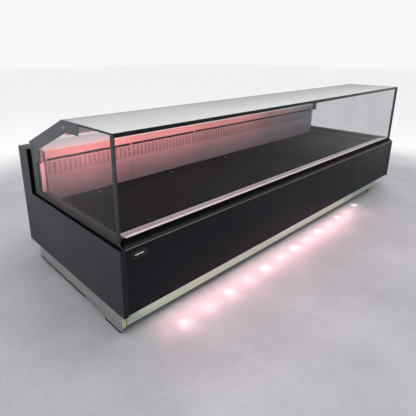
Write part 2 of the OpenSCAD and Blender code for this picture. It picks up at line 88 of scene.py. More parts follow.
class Shade:
    """A node material: one principled shader with procedural colour, roughness and bump."""

    def __init__(self, name, rough=0.5, metal=0.0, spec=0.5):
        self.mat = bpy.data.materials.new(name)
        self.mat.use_nodes = True
        self.tree = self.mat.node_tree
        self.tree.nodes.clear()
        self.out = self.node("ShaderNodeOutputMaterial")
        self.bsdf = self.node("ShaderNodeBsdfPrincipled")
        self.link(self.bsdf.outputs[0], self.out.inputs["Surface"])
        self.set("Roughness", rough)
        self.set("Metallic", metal)
        self.set("Specular IOR Level", spec)
        self.coords = self.node("ShaderNodeTexCoord").outputs["Object"]
        self.normal = None

    def node(self, kind, **values):
        n = self.tree.nodes.new(kind)
        for k, v in values.items():
            setattr(n, k, v)
        return n

    def link(self, a, b):
        self.tree.links.new(a, b)

    def set(self, socket, value):
        self.bsdf.inputs[socket].default_value = value

    def noise(self, scale, detail=3.0, stretch=(1, 1, 1), rough=0.5):
        """Noise of so many cells a metre, drawn out by stretch."""
        mapping = self.node("ShaderNodeMapping")
        mapping.inputs["Scale"].default_value = stretch
        self.link(self.coords, mapping.inputs["Vector"])
        n = self.node("ShaderNodeTexNoise")
        n.inputs["Scale"].default_value = scale
        n.inputs["Detail"].default_value = detail
        n.inputs["Roughness"].default_value = rough
        self.link(mapping.outputs[0], n.inputs["Vector"])
        return n.outputs["Fac"]

    def span(self, source, low, high, a=0.3, b=0.7, kind="LINEAR"):
        """source from a..b brought to low..high."""
        m = self.node("ShaderNodeMapRange", interpolation_type=kind)
        for socket, value in zip(("From Min", "From Max", "To Min", "To Max"), (a, b, low, high)):
            m.inputs[socket].default_value = value
        self.link(source, m.inputs["Value"])
        return m.outputs["Result"]

    def mix(self, factor, a, b, mode="MIX"):
        """Colours a and b, each a colour or a socket."""
        m = self.node("ShaderNodeMix", data_type="RGBA", blend_type=mode)
        for socket, value in zip((m.inputs[0], m.inputs[6], m.inputs[7]), (factor, a, b)):
            if isinstance(value, bpy.types.NodeSocket):
                self.link(value, socket)
            else:
                socket.default_value = value if isinstance(value, float) else (*value[:3], 1)
        return m.outputs[2]

    def math(self, operation, a, b):
        m = self.node("ShaderNodeMath", operation=operation)
        for socket, value in zip(m.inputs, (a, b)):
            if isinstance(value, bpy.types.NodeSocket):
                self.link(value, socket)
            else:
                socket.default_value = value
        return m.outputs[0]

    def colour(self, source):
        self.link(source, self.bsdf.inputs["Base Color"])

    def rough(self, source):
        self.link(source, self.bsdf.inputs["Roughness"])

    def bump(self, height, strength, distance):
        b = self.node("ShaderNodeBump")
        b.inputs["Strength"].default_value = strength
        b.inputs["Distance"].default_value = distance
        self.link(height, b.inputs["Height"])
        if self.normal is not None:
            self.link(self.normal, b.inputs["Normal"])
        self.normal = b.outputs[0]
        self.link(self.normal, self.bsdf.inputs["Normal"])

    def axis(self, index, output="Object"):
        """One coordinate of the object's own space, or of its normal."""
        split = self.node("ShaderNodeSeparateXYZ")
        self.link(self.node("ShaderNodeTexCoord").outputs[output], split.inputs[0])
        return split.outputs[index]

    def edges(self, radius):
        """A mask of the edges within radius, from a rounded normal against the flat one."""
        bevel = self.node("ShaderNodeBevel", samples=6)
        bevel.inputs["Radius"].default_value = radius
        flat = self.node("ShaderNodeNewGeometry").outputs["Normal"]
        dot = self.node("ShaderNodeVectorMath", operation="DOT_PRODUCT")
        self.link(bevel.outputs[0], dot.inputs[0])
        self.link(flat, dot.inputs[1])
        return self.span(dot.outputs["Value"], 1.0, 0.0, 0.80, 0.995)


def scaled(rgb, k):
    return tuple(min(1.0, c * k) for c in rgb)


def powder_coat(name, rgb, rough, spec, edge=1.6, front=None, low=None):
    """Powder coat: fine orange peel, faint cloudiness, dusty high spots and rubbed edges.
    front is a painted lit or shaded copy of the coat for the faces towards the customers. low is
    (z0, z1, k): the coat is k times as light at z0 as at z1, a painted shade towards the bottom."""
    s = Shade(name, rough, 0.0, spec)
    cloud = s.mix(s.span(s.noise(1.7, 4), 0, 1), scaled(rgb, 0.88), scaled(rgb, 1.12))
    dust_and_shade = s.mix(s.span(s.noise(45, 6), 0.0, 0.10, 0.5, 0.75), cloud, scaled(rgb, 3.0))
    # painted shade: the coat grows darker towards the bottom, as if less light reached it
    if low:
        shade = s.span(s.axis(2), low[2], 1.0, low[0], low[1], "SMOOTHSTEP")
        dust_and_shade = s.mix(shade, scaled(rgb, 0.0), dust_and_shade)
    coat = s.mix(s.math("MULTIPLY", s.edges(0.0012), s.span(s.noise(60, 3), 0.3, 0.9)), dust_and_shade,
                 scaled(rgb, edge))
    # painted light and shade: the faces towards the customers get their own lit or shaded colour
    if front:
        coat = s.mix(s.math("LESS_THAN", s.axis(1, "Normal"), FRONT_FACE), coat, front)
    s.colour(coat)
    s.rough(s.span(s.noise(4.0, 5), rough - 0.05, rough + 0.06))
    s.bump(s.noise(900, 2), 0.22, 0.0002)
    return s.mat


def brushed(name, rgb, rough, along="x", metal=1.0, streak=0.10, smudge=0.08, front=None,
            level=None):
    """Brushed sheet metal with grain along one axis, streaks and soft smudges. front is a painted
    lit or shaded copy of the metal for the faces towards the customers, and level a painted
    highlight for the dead level faces, where the light from above falls."""
    s = Shade(name, rough, metal)
    stretch = {"x": (0.015, 1, 1), "y": (1, 0.015, 1), "z": (1, 1, 0.015)}[along]
    grain = s.noise(1600, 3, stretch)
    broad = s.noise(110, 3, stretch)
    base = s.mix(s.span(broad, 0, 1), scaled(rgb, 1 - streak), scaled(rgb, 1 + streak))
    metal_rgb = s.mix(s.span(s.noise(3.1, 5), 0.0, smudge * 2), base, scaled(rgb, 0.6))
    # painted light and shade: the faces towards the customers get their own lit or shaded colour
    if front:
        facing = s.math("LESS_THAN", s.axis(1, "Normal"), FRONT_FACE)
        metal_rgb = s.mix(facing, metal_rgb, front)
    # painted highlight: the dead level faces are painted lighter, as lit from above
    if level:
        upward = s.math("GREATER_THAN", s.axis(2, "Normal"), LEVEL_FACE)
        metal_rgb = s.mix(upward, metal_rgb, level)
    s.colour(metal_rgb)
    wide = s.math("ADD", s.span(s.noise(5, 4), -smudge, smudge), s.span(grain, -0.07, 0.07))
    s.rough(s.math("ADD", wide, rough))
    s.bump(grain, 0.25, 0.0001)
    return s.mat


def anodised(name, rgb, rough, metal=0.6):
    s = Shade(name, rough, metal)
    s.colour(s.mix(s.span(s.noise(300, 2, (0.02, 1, 1)), 0, 1), scaled(rgb, 0.85),
                   scaled(rgb, 1.2)))
    s.rough(s.span(s.noise(8, 4), rough - 0.05, rough + 0.05))
    s.bump(s.noise(2000, 1, (0.02, 1, 1)), 0.15, 0.0001)
    return s.mat


def moulded(name, rgb, rough, spec=0.4, grain=700):
    """Moulded plastic or rubber with a fine spark texture."""
    s = Shade(name, rough, 0.0, spec)
    s.colour(s.mix(s.span(s.noise(25, 4), 0, 1), scaled(rgb, 0.8), scaled(rgb, 1.25)))
    s.rough(s.span(s.noise(30, 4), rough - 0.06, rough + 0.08))
    s.bump(s.noise(grain, 2), 0.3, 0.0002)
    return s.mat


def foam(name, rgb):
    s = Shade(name, 0.95, 0.0, 0.1)
    cells = s.node("ShaderNodeTexVoronoi")
    cells.inputs["Scale"].default_value = 320
    s.link(s.coords, cells.inputs["Vector"])
    cell = s.mix(s.span(cells.outputs["Distance"], 0, 1, 0, 0.6), scaled(rgb, 0.8), rgb)
    s.colour(s.mix(s.span(s.noise(9, 4), 0, 0.4), cell, scaled(rgb, 0.7)))
    s.bump(cells.outputs["Distance"], 0.6, 0.001)
    return s.mat


def galvanised(name, rgb, rough):
    """Zinc spangle in flat facets of slightly different shade."""
    s = Shade(name, rough, 1.0)
    spangle = s.node("ShaderNodeTexVoronoi")
    spangle.inputs["Scale"].default_value = 90
    s.link(s.coords, spangle.inputs["Vector"])
    tone = s.node("ShaderNodeSeparateColor")
    s.link(spangle.outputs["Color"], tone.inputs[0])
    s.colour(s.mix(tone.outputs[0], scaled(rgb, 0.82), scaled(rgb, 1.15)))
    s.rough(s.span(tone.outputs[1], rough - 0.08, rough + 0.1, 0, 1))
    s.bump(s.noise(400, 2), 0.1, 0.0002)
    return s.mat


def copper(name, rgb):
    """Drawn copper tube with patches of tarnish."""
    s = Shade(name, 0.3, 1.0)
    patch = s.span(s.noise(14, 5), 0, 1, 0.45, 0.62)
    s.colour(s.mix(patch, rgb, (rgb[0] * 0.45, rgb[1] * 0.42, rgb[2] * 0.4)))
    s.rough(s.span(s.noise(14, 5), 0.24, 0.5, 0.4, 0.65))
    s.bump(s.noise(700, 2, (0.05, 1, 1)), 0.2, 0.0001)
    return s.mat


def pane(name, tint, edge_rgb, axis, painted_reflection_share=0.0, sheen=(0.015, 0.5)):
    """Flat glass: clear and tinted across its faces, with a deeper colour in its ground edges.
    axis 0, 1 or 2 is the way through the pane, painted_reflection_share is how much of a pale
    painted reflection lies on it, and sheen is its gloss seen straight on and at a grazing angle."""
    s = Shade(name, 0.08, 0.0)
    s.tree.nodes.remove(s.bsdf)
    clear = s.node("ShaderNodeBsdfTransparent")
    smear = s.span(s.noise(2.2, 5), 0.0, 1.0, 0.35, 0.7)
    s.link(s.mix(smear, scaled(tint, 0.96), tint), clear.inputs[0])
    gloss = s.node("ShaderNodeBsdfGlossy")
    gloss.inputs["Color"].default_value = (0.97, 0.98, 0.98, 1)
    s.link(s.span(s.noise(3.0, 5), 0.01, 0.05, 0.4, 0.8), gloss.inputs["Roughness"])
    face = s.node("ShaderNodeMixShader")
    s.link(clear.outputs[0], face.inputs[1])
    # painted reflection: a pale diffuse layer stands in for the room mirrored at a grazing angle
    if painted_reflection_share:
        painted_reflection_layer = s.node("ShaderNodeBsdfDiffuse")
        lo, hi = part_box("top_glass")
        tone = s.mix(s.span(s.axis(1), 0, 1, lo.y, hi.y), PAINTED_REFLECTION, PAINTED_REFLECTION_REAR)
        # painted shade: the painted reflection darkens towards the right end
        tone = s.mix(s.span(s.axis(0), 0, 0.3, lo.x, hi.x), tone, (0.12, 0.12, 0.12))
        cloud = s.span(s.noise(1.4, 5, (0.35, 1, 1)), 0, 0.12)
        s.link(s.mix(cloud, tone, (1.0, 1.0, 1.0)), painted_reflection_layer.inputs["Color"])
        both = s.node("ShaderNodeMixShader")
        s.link(s.span(s.noise(2.0, 4), painted_reflection_share - 0.04, painted_reflection_share + 0.04), both.inputs[0])
        s.link(clear.outputs[0], both.inputs[1])
        s.link(painted_reflection_layer.outputs[0], both.inputs[2])
        s.link(both.outputs[0], face.inputs[1])
    facing = s.node("ShaderNodeLayerWeight").outputs["Facing"]
    grazing = s.math("MULTIPLY", s.math("POWER", facing, 5.0), sheen[1])
    s.link(s.math("ADD", grazing, sheen[0]), face.inputs[0])
    s.link(gloss.outputs[0], face.inputs[2])
    edge = s.node("ShaderNodeBsdfPrincipled")
    edge.inputs["Roughness"].default_value = 0.25
    edge.inputs["Specular IOR Level"].default_value = 0.15
    s.link(s.mix(s.span(s.noise(60, 3), 0, 1), scaled(edge_rgb, 0.7), edge_rgb),
           edge.inputs["Base Color"])
    through = s.math("ABSOLUTE", s.axis(axis, "Normal"), 0.0)
    whole = s.node("ShaderNodeMixShader")
    s.link(s.math("GREATER_THAN", through, 0.7), whole.inputs[0])
    s.link(edge.outputs[0], whole.inputs[1])
    s.link(face.outputs[0], whole.inputs[2])
    s.link(whole.outputs[0], s.out.inputs["Surface"])
    return s.mat


def lit(name, rgb, strength, spot=120):
    """A frosted diffuser lit from inside by a row of diodes."""
    s = Shade(name, 0.4)
    s.colour(s.mix(s.span(s.noise(40, 3), 0, 1), scaled(rgb, 0.9), rgb))
    s.set("Emission Strength", strength)
    s.link(s.mix(s.span(s.noise(spot, 1, (1, 0.01, 0.01)), 0, 1), scaled(rgb, 0.88), rgb),
           s.bsdf.inputs["Emission Color"])
    return s.mat


# painted reflection of the bright room on the top glass, laid on as a pale layer, lighter at its
# front edge than at its rear
PAINTED_REFLECTION = (0.54, 0.55, 0.56)
PAINTED_REFLECTION_REAR = (0.31, 0.315, 0.32)
# painted shade: the end panels' faces towards the customers are painted near black
END_FRONT_SHADE = (0.0036, 0.0044, 0.0066)
FINISH = {
    "end_paint": powder_coat("end_paint", (0.021, 0.0228, 0.0262), 0.5, 0.25),
    "front_paint": powder_coat("front_paint", (0.0046, 0.0052, 0.0076), 0.45, 0.12),
    # frame_paint: its faces towards the customers are painted lighter and its lower part darker,
    # painted light and shade
    "frame_paint": powder_coat("frame_paint", (0.052, 0.058, 0.063), 0.48, 0.3,
                               front=(0.09, 0.10, 0.105), low=(0.46, 0.8, 0.25)),
    "base_paint": powder_coat("base_paint", (0.012, 0.012, 0.012), 0.6, 0.3),
    "deck_paint": powder_coat("deck_paint", (0.0045, 0.0045, 0.0048), 0.6, 0.06),
    # trim_metal: given a pink tone, a painted highlight of the pink lamps along the front panel's
    # top edge
    "trim_metal": anodised("trim_metal", (0.32, 0.235, 0.24), 0.35, 0.9),
    "black_rubber": moulded("black_rubber", (0.003, 0.003, 0.0035), 0.75, 0.03, 1200),
    "black_plastic": moulded("black_plastic", (0.003, 0.003, 0.0035), 0.6, 0.03),
    "clear_glass": pane("clear_glass", (0.955, 0.955, 0.955), (0.004, 0.006, 0.007), 1,
                        sheen=(0.006, 0.4)),
    "side_glass": pane("side_glass", (0.81, 0.81, 0.82), (0.02, 0.04, 0.04), 0, sheen=(0.01, 0.5)),
    "black_profile": anodised("black_profile", (0.006, 0.0062, 0.008), 0.42, 0.95),
    "white_profile": anodised("white_profile", (0.55, 0.555, 0.56), 0.4, 0.3),
    "lamp_diffuser": lit("lamp_diffuser", (1.0, 0.80, 0.80), 2.0),
    "pink_diffuser": lit("pink_diffuser", (0.85, 0.24, 0.20), 1.0),
    "glow_lens": lit("glow_lens", (1.0, 0.55, 0.62), 8.0),
    "foam": foam("foam", (0.78, 0.68, 0.36)),
    # stainless: its faces towards the customers are painted darker, a painted shade
    "stainless": brushed("stainless", (0.46, 0.5, 0.51), 0.42, metal=0.35,
                         front=(0.24, 0.22, 0.22)),
    "grille_steel": brushed("grille_steel", (0.66, 0.60, 0.63), 0.42, metal=0.35),
    "kick_steel": brushed("kick_steel", (0.45, 0.54, 0.43), 0.42, metal=0.5),
    # leg_steel: its faces towards the customers are painted a lighter yellow-green, a painted
    # reflection
    "leg_steel": brushed("leg_steel", (0.36, 0.36, 0.35), 0.45, "y", 0.8,
                         front=(0.56, 0.62, 0.36)),
    "galvanised": galvanised("galvanised", (0.52, 0.53, 0.54), 0.42),
    "fin_aluminium": brushed("fin_aluminium", (0.72, 0.73, 0.74), 0.4, "z"),
    "copper": copper("copper", (0.72, 0.36, 0.22)),
    "valve_brass": brushed("valve_brass", (0.72, 0.53, 0.24), 0.34),
    "motor_plastic": moulded("motor_plastic", (0.025, 0.025, 0.027), 0.5),
    "button_plastic": moulded("button_plastic", (0.52, 0.53, 0.54), 0.3, 0.5, 1500),
    "rocker_plastic": moulded("rocker_plastic", (0.015, 0.20, 0.05), 0.25, 0.5, 1500),
    "foot_plastic": moulded("foot_plastic", (0.014, 0.014, 0.014), 0.6),
    "screw_steel": brushed("screw_steel", (0.42, 0.42, 0.43), 0.3, "z"),
}
# the top glass carries a painted reflection over 0.8 of it
TOP_GLASS = pane("top_glass", (0.93, 0.94, 0.94), (0.004, 0.006, 0.007), 2, 0.8, (0.02, 0.1))
# end panels: painted shade on their faces towards the customers
END_PANEL = powder_coat("end_panel_paint", (0.021, 0.0228, 0.0262), 0.5, 0.25, 1.4, END_FRONT_SHADE)
OWN_FINISH = {
    "top_glass": TOP_GLASS, "left_end_panel": END_PANEL, "right_end_panel": END_PANEL,
    # return grille: its level faces are painted pinkish white, a painted highlight of the pink
    # lamps above
    "return_grille": brushed("return_steel", (0.56, 0.5, 0.535), 0.42, metal=0.35,
                             level=(0.98, 0.86, 0.88)),
    "rear_grille": brushed("outlet_steel", (0.24, 0.235, 0.27), 0.42, metal=0.35),
    # inner liner: painted dark grey, a painted shade inside the case under the trays
    "inner_liner": brushed("liner_steel", (0.07, 0.07, 0.073), 0.45, metal=0.35),
    # outer tub: painted a light pink, painted light from the pink ridge lamps
    "outer_tub": brushed("tub_steel", (0.6, 0.52, 0.53), 0.45, "z", 0.3),
}

for node_name, obj in NODES.items():
    finish = OWN_FINISH.get(node_name) or FINISH[SLOTS[node_name]]
    for material_slot in obj.material_slots:
        material_slot.material = finish

# ---------------------------------------------------------------- building tools


def islands(node):
    """(lowest corner, highest corner) of each separate solid of a CAD node, by rising x then y."""
    bm = bmesh.new()
    bm.from_mesh(NODES[node].data)
    bmesh.ops.remove_doubles(bm, verts=bm.verts, dist=1e-5)
    todo, found = set(bm.verts), []
    while todo:
        stack, group = [todo.pop()], []
        while stack:
            v = stack.pop()
            group.append(v.co.copy())
            for e in v.link_edges:
                w = e.other_vert(v)
                if w in todo:
                    todo.discard(w)
                    stack.append(w)
        found.append((Vector(map(min, zip(*group))), Vector(map(max, zip(*group)))))
    bm.free()
    return sorted(found, key=lambda b: (round(b[0].x, 4), round(b[0].y, 4)))


def piece(name, bm, material, body="case", replaces=(), smooth=True):
    """A finished Blender piece from a bmesh, riding on a body."""
    bmesh.ops.recalc_face_normals(bm, faces=bm.faces)
    mesh = bpy.data.meshes.new(name)
    bm.to_mesh(mesh)
    bm.free()
    mesh.materials.append(material)
    if smooth:
        mesh.shade_smooth()
        mesh.set_sharp_from_angle(angle=math.radians(35))
    ob = bpy.data.objects.new(name, mesh)
    bpy.context.scene.collection.objects.link(ob)
    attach(ob, body)
    if replaces:
        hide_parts(*replaces)
    return ob


def add_box(bm, lo, hi, bevel=0.0, segments=2):
    """A box with rounded edges."""
    lo, hi = Vector(lo), Vector(hi)
    made = bmesh.ops.create_cube(bm, size=1.0)["verts"]
    centre, size = (lo + hi) / 2, hi - lo
    for v in made:
        v.co = Vector((v.co[i] * size[i] + centre[i] for i in range(3)))
    if bevel > 0:
        edges = list({e for v in made for e in v.link_edges})
        bmesh.ops.bevel(bm, geom=edges, offset=bevel, segments=segments, affect="EDGES",
                        profile=0.5, clamp_overlap=True)


def add_lathe(bm, profile, matrix, steps=32):
    """A solid of revolution: profile is (radius, height) up the local Z, closed at both ends."""
    rings = []
    for r, h in profile:
        if r < 1e-6:
            rings.append([bm.verts.new(matrix @ Vector((0, 0, h)))])
        else:
            rings.append([bm.verts.new(matrix @ Vector((r * math.cos(math.tau * k / steps),
                                                         r * math.sin(math.tau * k / steps), h)))
                          for k in range(steps)])
    for a, b in zip(rings, rings[1:]):
        for k in range(steps):
            m = (k + 1) % steps
            corners = [a[k % len(a)], a[m % len(a)], b[m % len(b)], b[k % len(b)]]
            unique = list(dict.fromkeys(corners))
            if len(unique) > 2:
                bm.faces.new(unique)
    for ring in (rings[0], rings[-1]):
        if len(ring) > 1:
            bm.faces.new(ring)


def add_nut(bm, radius, h0, h1, matrix, chamfer):
    """An upright hexagon nut with its top and bottom corners turned off."""
    turned = chamfer * 0.6
    profile = [(radius - chamfer, h0), (radius, h0 + turned), (radius, h1 - turned),
               (radius - chamfer, h1)]
    add_lathe(bm, profile, matrix, 6)


def add_tube(bm, points, radius, steps=8):
    """A round rod along points, closed at its ends."""
    circle = [Vector((radius * math.cos(math.tau * k / steps),
                      radius * math.sin(math.tau * k / steps), 0)) for k in range(steps)]
    rings = []
    for i, p in enumerate(points):
        before, after = points[max(i - 1, 0)], points[min(i + 1, len(points) - 1)]
        way = (Vector(after) - Vector(before)).normalized()
        turn = way.to_track_quat("Z", "Y").to_matrix()
        rings.append([bm.verts.new(Vector(p) + turn @ c) for c in circle])
    for a, b in zip(rings, rings[1:]):
        for k in range(steps):
            m = (k + 1) % steps
            bm.faces.new((a[k], a[m], b[m], b[k]))
    bm.faces.new(rings[0])
    bm.faces.new(rings[-1])


def add_ring(bm, centre, radius, wire, steps=40, around=8):
    """A wire ring in the XZ plane."""
    rows = []
    for i in range(steps):
        a = math.tau * i / steps
        out = Vector((math.cos(a), 0, math.sin(a)))
        row = []
        for k in range(around):
            turn = math.tau * k / around
            rise = Vector((0, wire * math.sin(turn), 0))
            row.append(bm.verts.new(Vector(centre) + out * (radius + wire * math.cos(turn)) + rise))
        rows.append(row)
    for i in range(steps):
        a, b = rows[i], rows[(i + 1) % steps]
        for k in range(around):
            m = (k + 1) % around
            bm.faces.new((a[k], a[m], b[m], b[k]))


def pointing(origin, way):
    """A matrix whose local Z points along way from origin."""
    turn = Vector(way).to_track_quat("Z", "Y").to_matrix().to_4x4()
    return Matrix.Translation(Vector(origin)) @ turn


# ---------------------------------------------------------------- screws

HEAD_HEX = 0.45  # socket radius over head radius
bm = bmesh.new()
for lo, hi in islands("screws"):
    size = hi - lo
    way_axis = min(range(3), key=lambda i: -size[i])
    mid = (lo + hi) / 2
    head_r = min(size[i] for i in range(3) if i != way_axis) / 2
    outward = Vector((0, 0, 0))
    outward[way_axis] = 1.0 if mid[way_axis] > 0 else -1.0
    top = size[way_axis]
    tip = mid - outward * top / 2
    head_t = min(2.5 * MM, top * 0.3)
    shank_r = head_r * 0.46
    socket_r, socket_d = head_r * HEAD_HEX, head_t * 0.7
    profile = [(0, 0), (shank_r * 0.7, 0), (shank_r, 1 * MM), (shank_r, top - head_t),
               (head_r * 0.97, top - head_t), (head_r, top - head_t * 0.85),
               (head_r * 0.95, top - head_t * 0.4), (head_r * 0.78, top - head_t * 0.08),
               (socket_r * 1.15, top), (socket_r, top - 0.1 * MM), (socket_r, top - socket_d),
               (0, top - socket_d - 0.2 * MM)]
    add_lathe(bm, profile, pointing(tip, outward), 24)
piece("button_head_screws", bm, FINISH["screw_steel"], replaces=["screws"])

# ---------------------------------------------------------------- levelling feet

THREAD_PITCH, THREAD_DEPTH = 1.75 * MM, 0.55 * MM
NUT_FOOT, NUT_TOP = 13 * MM, 19 * MM


def add_foot(bm, lo, hi):
    """Rubber-soled pad, ball collar, lock nut and threaded stem."""
    x, y = (lo.x + hi.x) / 2, (lo.y + hi.y) / 2
    pad_r, height = (hi.x - lo.x) / 2, hi.z - lo.z
    rod_r = pad_r * 0.25
    at = Matrix.Translation((x, y, lo.z))
    add_lathe(bm, [(pad_r * 0.9, 0), (pad_r * 0.96, 0.5 * MM), (pad_r * 0.96, 2.2 * MM),
                   (pad_r, 2.6 * MM), (pad_r, 5.0 * MM), (pad_r * 0.96, 6.6 * MM),
                   (pad_r * 0.86, 7.8 * MM), (pad_r * 0.62, 8.6 * MM), (pad_r * 0.5, 10 * MM),
                   (pad_r * 0.46, 12 * MM), (pad_r * 0.4, 12.6 * MM), (rod_r, 12.7 * MM)], at, 40)
    h = NUT_TOP
    stem = [(rod_r * 0.9, 12 * MM), (rod_r, 12.8 * MM), (rod_r, h)]
    while h + THREAD_PITCH < height - 1 * MM:
        stem += [(rod_r - THREAD_DEPTH, h + THREAD_PITCH / 2), (rod_r, h + THREAD_PITCH)]
        h += THREAD_PITCH
    stem += [(rod_r * 0.75, height)]
    add_lathe(bm, stem, at, 20)
    add_nut(bm, rod_r * 1.9, NUT_FOOT, NUT_TOP, at, 0.6 * MM)


for foot in [n for n in NODES if "foot_" in n or n == "middle_feet"]:
    bm = bmesh.new()
    for lo, hi in islands(foot):
        add_foot(bm, lo, hi)
    piece(foot + "_levelling", bm, FINISH["foot_plastic"], foot + "_body", [foot])

# ---------------------------------------------------------------- fans

BLADES = 5
for fan in ("fan_rotor_1", "fan_rotor_2", "fan_rotor_3"):
    lo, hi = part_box(fan)
    cx, cz = (lo.x + hi.x) / 2, (lo.z + hi.z) / 2
    tip_r = (hi.x - lo.x) / 2
    hub_r = tip_r * 0.39
    front, back = lo.y, hi.y
    hub_back = front + 28 * MM
    at = pointing((cx, front, cz), (0, 1, 0))
    bm = bmesh.new()
    add_lathe(bm, [(0, 0.3 * MM), (hub_r * 0.7, 0.5 * MM), (hub_r * 0.9, 1.8 * MM),
                   (hub_r * 0.99, 5 * MM), (hub_r, 9 * MM), (hub_r, 27 * MM),
                   (hub_r * 0.93, 28 * MM), (0.0, 28 * MM)], at, 40)
    shaft_r = 4 * MM
    add_lathe(bm, [(shaft_r, 27 * MM), (shaft_r, back - front - 0.6 * MM),
                   (shaft_r * 0.85, back - front), (0, back - front)], at, 20)
    middle = (front + hub_back) / 2
    rows, cols, thick = 7, 8, 1.1 * MM
    for b in range(BLADES):
        start = math.tau * b / BLADES
        sheets = []
        for side in (-1, 1):
            sheet = []
            for i in range(rows):
                t = i / (rows - 1)
                r = hub_r * 0.96 + (tip_r * 0.985 - hub_r * 0.96) * t
                span = 0.92 - 0.22 * t
                rise = (11.5 - 3.0 * t) * MM
                line = []
                for j in range(cols):
                    u = j / (cols - 1) * 2 - 1
                    round_tip = 1 - 0.25 * t ** 6 * u * u
                    a = start + u * span / 2 * round_tip + 0.22 * t
                    camber = (1 - u * u) * 2.2 * MM
                    fade = thick * (1 - 0.75 * abs(u) ** 3)
                    y = middle + u * rise + camber + side * fade
                    line.append(bm.verts.new((cx + r * math.cos(a), y, cz + r * math.sin(a))))
                sheet.append(line)
            sheets.append(sheet)
        low, high = sheets
        for i in range(rows - 1):
            for j in range(cols - 1):
                bm.faces.new((low[i][j], low[i][j + 1], low[i + 1][j + 1], low[i + 1][j]))
                bm.faces.new((high[i][j], high[i + 1][j], high[i + 1][j + 1], high[i][j + 1]))
        rim = ([(0, j) for j in range(cols)] + [(i, cols - 1) for i in range(1, rows)]
               + [(rows - 1, j) for j in range(cols - 2, -1, -1)]
               + [(i, 0) for i in range(rows - 2, 0, -1)])
        for (i, j), (k, m) in zip(rim, rim[1:] + rim[:1]):
            bm.faces.new((low[i][j], high[i][j], high[k][m], low[k][m]))
    piece(fan + "_blades", bm, FINISH["motor_plastic"], fan + "_body", [fan])

    # wire guard in front of the opening
    plate_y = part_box("fan_plenum")[0].y
    guard_y, wire = front - 5 * MM, 1.1 * MM
    bm = bmesh.new()
    for r in (14, 27, 40, 53, 66, 79, 88):
        add_ring(bm, (cx, guard_y if r < 88 else plate_y - wire, cz), r * MM, wire, 44)
    for k in range(4):
        a = math.tau * (k + 0.5) / 4
        out = Vector((math.cos(a), 0, math.sin(a)))
        centre = Vector((cx, guard_y + wire * 1.6, cz))
        reach = [centre + out * 14 * MM, centre + out * 50 * MM, centre + out * 80 * MM]
        reach += [Vector((cx, plate_y - wire * 3.5, cz)) + out * 84.5 * MM,
                  Vector((cx, plate_y - wire, cz)) + out * 88 * MM]
        add_tube(bm, reach, wire)
    piece(fan.replace("rotor", "guard"), bm, FINISH["galvanised"])

# ---------------------------------------------------------------- evaporator fin pack

fin_lo, fin_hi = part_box("evaporator_fins")
FIN_PITCH, FIN_T = 9 * MM, 0.25 * MM
bm = bmesh.new()
end_t = 2 * MM
fin_bottom = fin_lo.z + 23.5 * MM  # the end plates stand on the liner, the fins hang clear of it
add_box(bm, fin_lo, (fin_lo.x + end_t, fin_hi.y, fin_hi.z), 0.4 * MM)
add_box(bm, (fin_hi.x - end_t, fin_lo.y, fin_lo.z), fin_hi, 0.4 * MM)
count = int((fin_hi.x - fin_lo.x) / FIN_PITCH)
for k in range(1, count):
    x = fin_lo.x + k * FIN_PITCH
    add_box(bm, (x, fin_lo.y, fin_bottom), (x + FIN_T, fin_hi.y, fin_hi.z))
piece("evaporator_fin_pack", bm, FINISH["fin_aluminium"],
      replaces=["evaporator_fins"], smooth=False)

# ---------------------------------------------------------------- badge

badge_lo, badge_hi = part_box("badge")
bm = bmesh.new()
add_box(bm, (badge_lo.x, badge_lo.y + 0.4 * MM, badge_lo.z), badge_hi, 0.5 * MM)
piece("badge_plate", bm, FINISH["black_plastic"], replaces=["badge"])
bm = bmesh.new()
face_y = badge_lo.y + 0.4 * MM
inset, line_w = 4 * MM, 1.1 * MM
x0, x1 = badge_lo.x + inset, badge_hi.x - inset
z0, z1 = badge_lo.z + inset, badge_hi.z - inset
for lo, hi in (((x0, z0), (x1, z0 + line_w)), ((x0, z1 - line_w), (x1, z1)),
               ((x0, z0 + line_w), (x0 + line_w, z1 - line_w)),
               ((x1 - line_w, z0 + line_w), (x1, z1 - line_w))):
    add_box(bm, (lo[0], badge_lo.y + 0.05 * MM, lo[1]), (hi[0], face_y + 0.2 * MM, hi[1]),
            0.12 * MM)
piece("badge_border", bm, brushed("badge_metal", (0.36, 0.37, 0.29), 0.35))
bm = bmesh.new()
zm = (z0 + z1) / 2
for k in range(5):
    w = (x1 - x0) * 0.1
    xa = x0 + (x1 - x0) * (0.18 + 0.14 * k)
    h = (3.2, 4.6)[k % 2] * MM
    add_box(bm, (xa, badge_lo.y + 0.05 * MM, zm - h), (xa + w, face_y + 0.2 * MM, zm + h),
            0.15 * MM)
piece("badge_bars", bm, moulded("badge_white", (0.6, 0.62, 0.66), 0.4))

# ---------------------------------------------------------------- controls on the rear

fascia_lo, fascia_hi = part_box("control_fascia")
display_x0 = fascia_lo.x + 14 * MM
display_x1 = display_x0 + 40 * MM
display_z = (fascia_lo.z + fascia_hi.z) / 2
recess_y = fascia_hi.y - 0.6 * MM
bm = bmesh.new()
add_box(bm, (display_x0 + 0.3 * MM, recess_y, display_z - 11.7 * MM),
        (display_x1 - 0.3 * MM, recess_y + 0.3 * MM, display_z + 11.7 * MM), 0.1 * MM)
lens = moulded("display_lens", (0.004, 0.004, 0.0045), 0.12, 0.5, 300)
piece("display_window", bm, lens)

